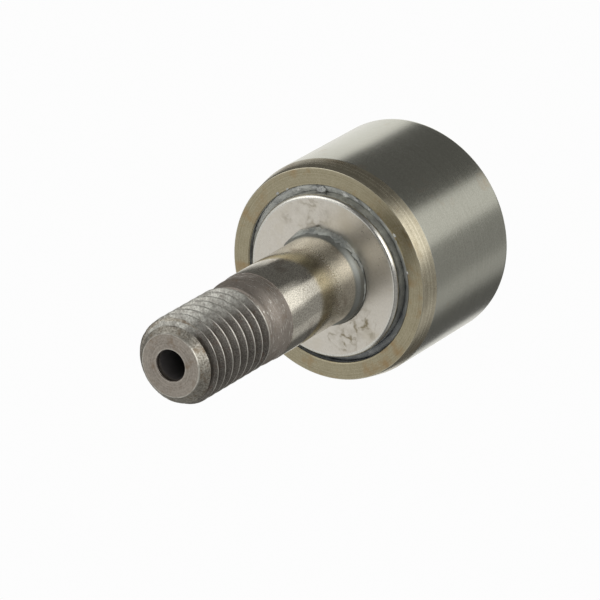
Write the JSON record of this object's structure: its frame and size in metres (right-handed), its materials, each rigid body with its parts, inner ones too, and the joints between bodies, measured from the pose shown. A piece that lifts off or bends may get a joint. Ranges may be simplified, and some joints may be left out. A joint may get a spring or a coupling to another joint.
{
  "type": "stud-type cam follower",
  "caption": "Roller on caged needles round a threaded stud, clamped in a bracket to run along a cam or a track.",
  "frame": {"origin": "centre of the head's flat face, on the stud's axis, the lowest point of the part", "axes": "+Z along the stud's axis, from the head towards the threaded end; +X towards the cross hole in the raceway"},
  "size_m": [0.0158, 0.0158, 0.0312],
  "materials": {
    "ring": "ground outside, turned faces with a tan heat tint",
    "stud": "satin shank, dark unground collar and thread",
    "plate": "bright satin",
    "needles": "fine ground",
    "cage": "pressed, slightly oily"
  },
  "bodies": {
    "stud": {"stud": "stud", "end_plate": "plate"},
    "roller": {"outer_ring": "ring"},
    "cage": {"cage": "cage"},
    "needle_01": {"needle_01": "needles"},
    "needle_02": {"needle_02": "needles"},
    "needle_03": {"needle_03": "needles"},
    "needle_04": {"needle_04": "needles"},
    "needle_05": {"needle_05": "needles"},
    "needle_06": {"needle_06": "needles"},
    "needle_07": {"needle_07": "needles"},
    "needle_08": {"needle_08": "needles"},
    "needle_09": {"needle_09": "needles"},
    "needle_10": {"needle_10": "needles"},
    "needle_11": {"needle_11": "needles"},
    "needle_12": {"needle_12": "needles"},
    "needle_13": {"needle_13": "needles"},
    "needle_14": {"needle_14": "needles"},
    "needle_15": {"needle_15": "needles"},
    "needle_16": {"needle_16": "needles"}
  },
  "joints": [
    {"name": "roller_spin", "type": "hinge", "parent": "stud", "child": "roller", "pos_m": [0, 0, 0.00596], "axis": [0, 0, 1], "continuous": true},
    {"name": "cage_spin", "type": "hinge", "parent": "stud", "child": "cage", "pos_m": [0, 0, 0.00596], "axis": [0, 0, 1], "continuous": true},
    {"name": "needle_01_spin", "type": "hinge", "parent": "cage", "child": "needle_01", "pos_m": [0.00479, 0.00095, 0.00596], "axis": [0, 0, 1], "continuous": true},
    {"name": "needle_02_spin", "type": "hinge", "parent": "cage", "child": "needle_02", "pos_m": [0.00406, 0.00271, 0.00596], "axis": [0, 0, 1], "continuous": true},
    {"name": "needle_03_spin", "type": "hinge", "parent": "cage", "child": "needle_03", "pos_m": [0.00271, 0.00406, 0.00596], "axis": [0, 0, 1], "continuous": true},
    {"name": "needle_04_spin", "type": "hinge", "parent": "cage", "child": "needle_04", "pos_m": [0.00095, 0.00479, 0.00596], "axis": [0, 0, 1], "continuous": true},
    {"name": "needle_05_spin", "type": "hinge", "parent": "cage", "child": "needle_05", "pos_m": [-0.00095, 0.00479, 0.00596], "axis": [0, 0, 1], "continuous": true},
    {"name": "needle_06_spin", "type": "hinge", "parent": "cage", "child": "needle_06", "pos_m": [-0.00271, 0.00406, 0.00596], "axis": [0, 0, 1], "continuous": true},
    {"name": "needle_07_spin", "type": "hinge", "parent": "cage", "child": "needle_07", "pos_m": [-0.00406, 0.00271, 0.00596], "axis": [0, 0, 1], "continuous": true},
    {"name": "needle_08_spin", "type": "hinge", "parent": "cage", "child": "needle_08", "pos_m": [-0.00479, 0.00095, 0.00596], "axis": [0, 0, 1], "continuous": true},
    {"name": "needle_09_spin", "type": "hinge", "parent": "cage", "child": "needle_09", "pos_m": [-0.00479, -0.00095, 0.00596], "axis": [0, 0, 1], "continuous": true},
    {"name": "needle_10_spin", "type": "hinge", "parent": "cage", "child": "needle_10", "pos_m": [-0.00406, -0.00271, 0.00596], "axis": [0, 0, 1], "continuous": true},
    {"name": "needle_11_spin", "type": "hinge", "parent": "cage", "child": "needle_11", "pos_m": [-0.00271, -0.00406, 0.00596], "axis": [0, 0, 1], "continuous": true},
    {"name": "needle_12_spin", "type": "hinge", "parent": "cage", "child": "needle_12", "pos_m": [-0.00095, -0.00479, 0.00596], "axis": [0, 0, 1], "continuous": true},
    {"name": "needle_13_spin", "type": "hinge", "parent": "cage", "child": "needle_13", "pos_m": [0.00095, -0.00479, 0.00596], "axis": [0, 0, 1], "continuous": true},
    {"name": "needle_14_spin", "type": "hinge", "parent": "cage", "child": "needle_14", "pos_m": [0.00271, -0.00406, 0.00596], "axis": [0, 0, 1], "continuous": true},
    {"name": "needle_15_spin", "type": "hinge", "parent": "cage", "child": "needle_15", "pos_m": [0.00406, -0.00271, 0.00596], "axis": [0, 0, 1], "continuous": true},
    {"name": "needle_16_spin", "type": "hinge", "parent": "cage", "child": "needle_16", "pos_m": [0.00479, -0.00095, 0.00596], "axis": [0, 0, 1], "continuous": true}
  ],
  "couplings": [
    {"joint": "cage_spin", "follows": "roller_spin", "ratio": 0.57377},
    {"joint": "needle_01_spin", "follows": "roller_spin", "ratio": 3.4262},
    {"joint": "needle_02_spin", "follows": "roller_spin", "ratio": 3.4262},
    {"joint": "needle_03_spin", "follows": "roller_spin", "ratio": 3.4262},
    {"joint": "needle_04_spin", "follows": "roller_spin", "ratio": 3.4262},
    {"joint": "needle_05_spin", "follows": "roller_spin", "ratio": 3.4262},
    {"joint": "needle_06_spin", "follows": "roller_spin", "ratio": 3.4262},
    {"joint": "needle_07_spin", "follows": "roller_spin", "ratio": 3.4262},
    {"joint": "needle_08_spin", "follows": "roller_spin", "ratio": 3.4262},
    {"joint": "needle_09_spin", "follows": "roller_spin", "ratio": 3.4262},
    {"joint": "needle_10_spin", "follows": "roller_spin", "ratio": 3.4262},
    {"joint": "needle_11_spin", "follows": "roller_spin", "ratio": 3.4262},
    {"joint": "needle_12_spin", "follows": "roller_spin", "ratio": 3.4262},
    {"joint": "needle_13_spin", "follows": "roller_spin", "ratio": 3.4262},
    {"joint": "needle_14_spin", "follows": "roller_spin", "ratio": 3.4262},
    {"joint": "needle_15_spin", "follows": "roller_spin", "ratio": 3.4262},
    {"joint": "needle_16_spin", "follows": "roller_spin", "ratio": 3.4262}
  ]
}
